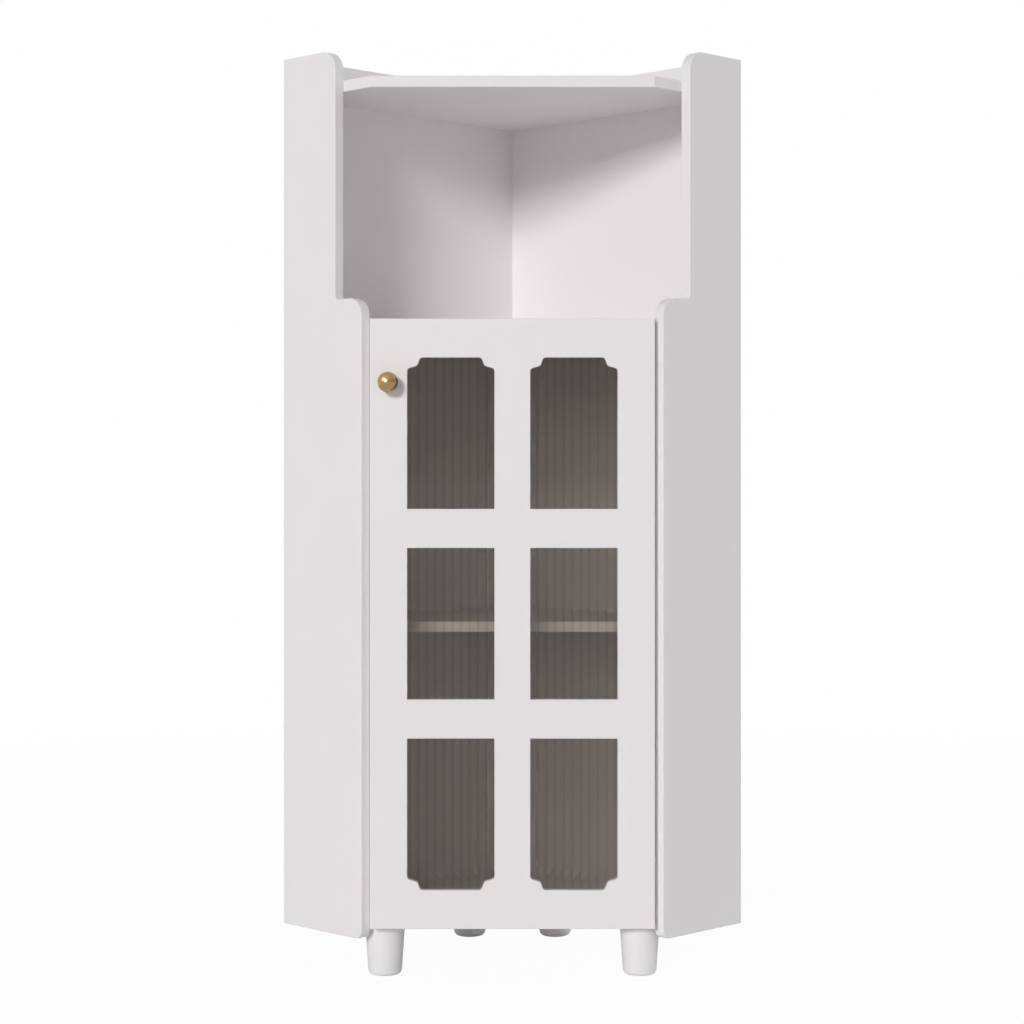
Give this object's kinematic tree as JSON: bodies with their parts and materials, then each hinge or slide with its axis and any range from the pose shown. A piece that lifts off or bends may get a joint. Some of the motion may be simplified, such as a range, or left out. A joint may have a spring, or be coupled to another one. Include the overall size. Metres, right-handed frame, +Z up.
{
  "type": "glass door corner cabinet",
  "caption": "Tall corner cabinet on turned legs: an open compartment over a framed door with scalloped, fluted glass lights, hung on concealed hinges, with a ball knob.",
  "frame": {"origin": "on the floor, under the middle of the cabinet's box", "axes": "+Z up, +X to the right seen from the front, +Y to the back, into the room's corner"},
  "size_m": [0.6078, 0.4486, 1.2],
  "materials": {
    "white_lacquer": "satin white lacquer on board",
    "fluted_glass": "clear, vertical flutes",
    "brass": "polished",
    "nickel_steel": "nickel plated",
    "zinc_metal": "zinc plated",
    "beech": "bare, grooved",
    "white_plastic": "moulded",
    "magnet": "ferrite",
    "clear_rubber": "soft, translucent"
  },
  "bodies": {
    "cabinet": {"left_side_panel": "white_lacquer", "right_side_panel": "white_lacquer", "left_back_panel": "white_lacquer", "right_back_panel": "white_lacquer", "top_board": "white_lacquer", "middle_board": "white_lacquer", "bottom_board": "white_lacquer", "inner_shelf": "white_lacquer", "leg_front_left": "white_lacquer", "leg_front_right": "white_lacquer", "leg_rear_left": "white_lacquer", "leg_rear_right": "white_lacquer", "shelf_pins": "nickel_steel", "leg_hanger_bolts": "zinc_metal", "leg_insert_nuts": "zinc_metal", "cam_locks": "zinc_metal", "cam_bolts": "zinc_metal", "wood_dowels": "beech", "back_corner_screws": "zinc_metal", "upper_hinge_arm": "nickel_steel", "lower_hinge_arm": "nickel_steel", "upper_hinge_plate": "nickel_steel", "lower_hinge_plate": "nickel_steel", "hinge_plate_screws": "nickel_steel", "magnet_catch_body": "white_plastic", "catch_magnet": "magnet", "door_bumpers": "clear_rubber"},
    "door": {"door_frame": "white_lacquer", "fluted_glass": "fluted_glass", "glass_clips": "white_plastic", "upper_hinge_cup": "nickel_steel", "lower_hinge_cup": "nickel_steel", "upper_hinge_pin": "nickel_steel", "lower_hinge_pin": "nickel_steel", "hinge_cup_screws": "nickel_steel", "knob": "brass", "knob_screw": "zinc_metal", "strike_plate": "nickel_steel"}
  },
  "joints": [
    {"name": "door_hinge", "type": "hinge", "parent": "cabinet", "child": "door", "pos_m": [0.1736, -0.18681, 0.4575], "axis": [0, 0, 1], "range_deg": [0, 95]}
  ]
}
